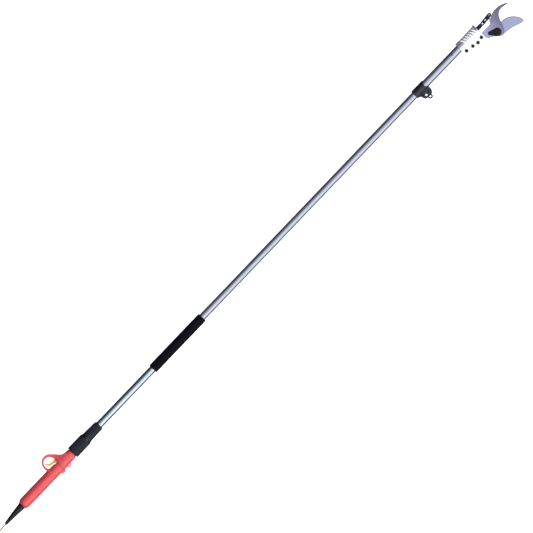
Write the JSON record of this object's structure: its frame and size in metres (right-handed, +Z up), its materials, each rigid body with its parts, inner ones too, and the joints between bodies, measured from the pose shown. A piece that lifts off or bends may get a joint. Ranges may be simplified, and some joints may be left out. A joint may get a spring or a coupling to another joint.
{
  "type": "battery pole pruner",
  "caption": "Long-reach powered bypass pruner: moulded trigger handle, twist-lock collar, telescoping tube with foam grip, clamp with hanging eye, ribbed drive housing, hook and swinging blade.",
  "frame": {"origin": "on the floor, under the middle of the tool's box, battery lead not counted", "axes": "+X along the pole from the handle to the blades, +Y to the side of the finger guard, +Z up"},
  "size_m": [2.6481, 0.1681, 0.0462],
  "materials": {
    "red_plastic": "satin moulded plastic, red",
    "gold_plastic": "gold-yellow moulded plastic",
    "rubber": "black rubber",
    "black_plastic": "black glass-filled plastic",
    "white_plastic": "natural acetal",
    "board": "circuit board laminate",
    "foam": "closed-cell foam, dark",
    "aluminium": "anodised tube, drawn along its length",
    "casting": "light metal die casting, fine blasted",
    "steel": "ground steel, grey",
    "blade": "ground and polished blade steel",
    "black_metal": "blackened steel",
    "dark_steel": "black oxide fastener steel",
    "cord_jacket": "tan-orange cord jacket"
  },
  "bodies": {
    "handle": {"handle_shell_upper": "red_plastic", "handle_shell_lower": "red_plastic", "handle_screw_rear_left": "dark_steel", "handle_screw_rear_right": "dark_steel", "handle_screw_guard": "dark_steel", "strain_relief": "rubber", "cord_clamp": "black_plastic", "control_board": "board", "trigger_switch": "black_plastic", "trigger_pin": "dark_steel", "trigger_spring": "dark_steel", "lock_neck": "black_plastic", "lock_collet": "white_plastic", "battery_cord": "cord_jacket", "cord_coil": "cord_jacket", "cord_tail": "cord_jacket", "battery_plug": "black_plastic", "plug_ring": "dark_steel"},
    "trigger_lever": {"trigger": "gold_plastic"},
    "twist_collar": {"lock_collar": "black_plastic", "collar_seal": "rubber"},
    "pole": {"pole_tube": "aluminium", "pole_end_bush": "black_plastic", "foam_grip": "foam", "inner_lead": "rubber", "pole_clamp": "black_plastic", "clamp_screw": "dark_steel", "clamp_nut": "dark_steel", "hang_pin": "dark_steel", "tube_coupler": "aluminium", "motor_tube": "aluminium", "drive_motor": "steel", "gearbox": "steel", "screw_bearing": "steel", "bearing_screw": "dark_steel", "housing_upper": "casting", "housing_lower": "casting", "housing_screw_1": "dark_steel", "housing_screw_2": "dark_steel", "housing_screw_3": "dark_steel", "housing_screw_4": "dark_steel", "fixed_blade": "steel", "pivot_bolt": "black_metal", "pivot_washer": "dark_steel", "pivot_nut": "dark_steel", "lock_plate": "black_metal", "lock_screw": "dark_steel"},
    "hanging_eye": {"hang_eye": "black_plastic"},
    "drive_screw": {"ball_screw": "steel"},
    "drive_bar": {"ball_nut": "steel", "pull_bar": "black_metal", "bar_pin": "steel"},
    "link": {"drive_link": "black_metal", "link_pin": "steel"},
    "blade": {"cutting_blade": "blade"}
  },
  "joints": [
    {"name": "trigger_pull", "type": "hinge", "parent": "handle", "child": "trigger_lever", "pos_m": [-0.9799, 0.0429, 0.0231], "axis": [0, 0, 1], "range_deg": [0, 8], "stiffness_Nm_per_rad": 1, "springref_deg": -5.73},
    {"name": "lock_turn", "type": "hinge", "parent": "handle", "child": "twist_collar", "pos_m": [-0.9246, 0.017, 0.0231], "axis": [1, 0, 0], "range_deg": [0, 90]},
    {"name": "pole_slide", "type": "slide", "parent": "handle", "child": "pole", "axis": [1, 0, 0], "range_m": [-0.12, 0]},
    {"name": "eye_swing", "type": "hinge", "parent": "pole", "child": "hanging_eye", "pos_m": [0.8512, -0.0096, 0.0231], "axis": [0, 0, 1], "range_deg": [-35, 35]},
    {"name": "blade_swing", "type": "hinge", "parent": "pole", "child": "blade", "pos_m": [1.1675, -0.039, 0.0231], "axis": [0, 0, 1], "range_deg": [0, 48]},
    {"name": "nut_slide", "type": "slide", "parent": "pole", "child": "drive_bar", "axis": [1, 0, 0], "range_m": [-0.0535, 0]},
    {"name": "link_swing", "type": "hinge", "parent": "drive_bar", "child": "link", "pos_m": [1.15175, 0.01875, 0.0231], "axis": [0, 0, 1], "range_deg": [-4.9, 0]},
    {"name": "screw_spin", "type": "hinge", "parent": "pole", "child": "drive_screw", "pos_m": [1.0331, 0.017, 0.0231], "axis": [1, 0, 0], "range_deg": [0, 3845]}
  ],
  "couplings": [
    {"joint": "nut_slide", "follows": "blade_swing", "m_per_rad": -0.06352},
    {"joint": "link_swing", "follows": "blade_swing", "ratio": -0.1004},
    {"joint": "screw_spin", "follows": "blade_swing", "ratio": 79.82}
  ]
}
